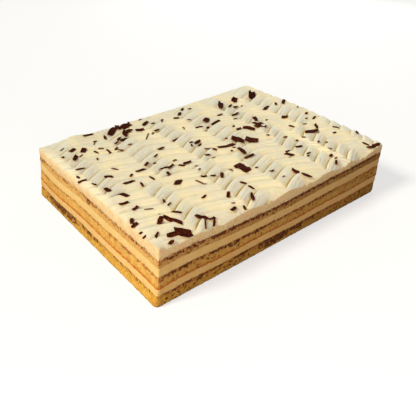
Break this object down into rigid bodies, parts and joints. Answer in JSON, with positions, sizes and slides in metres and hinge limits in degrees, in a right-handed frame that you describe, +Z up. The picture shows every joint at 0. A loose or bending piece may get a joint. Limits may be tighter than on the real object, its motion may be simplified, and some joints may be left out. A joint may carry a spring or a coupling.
{
  "type": "tiramisu layer cake",
  "caption": "Whole rectangular tiramisu tray cake: soaked sponge sheets layered with cream, straight cut sides and a zigzag combed cream top strewn with dark chocolate shavings.",
  "frame": {"origin": "on the surface the cake stands on, under the middle of its foot", "axes": "+X along the long side, +Y along the short side, +Z up through the layers"},
  "size_m": [0.2867, 0.2103, 0.0625],
  "materials": {
    "sponge": "matte soaked sponge crumb",
    "filling_cream": "dense mascarpone cream, satin where cut",
    "combed_cream": "smooth whipped cream with a soft sheen",
    "chocolate": "dark chocolate shavings, satin"
  },
  "bodies": {
    "root": {"sponge_bottom": "sponge", "cream_lower": "filling_cream", "sponge_middle": "sponge", "cream_middle": "filling_cream", "sponge_top": "sponge", "cream_top": "combed_cream"}
  },
  "joints": []
}
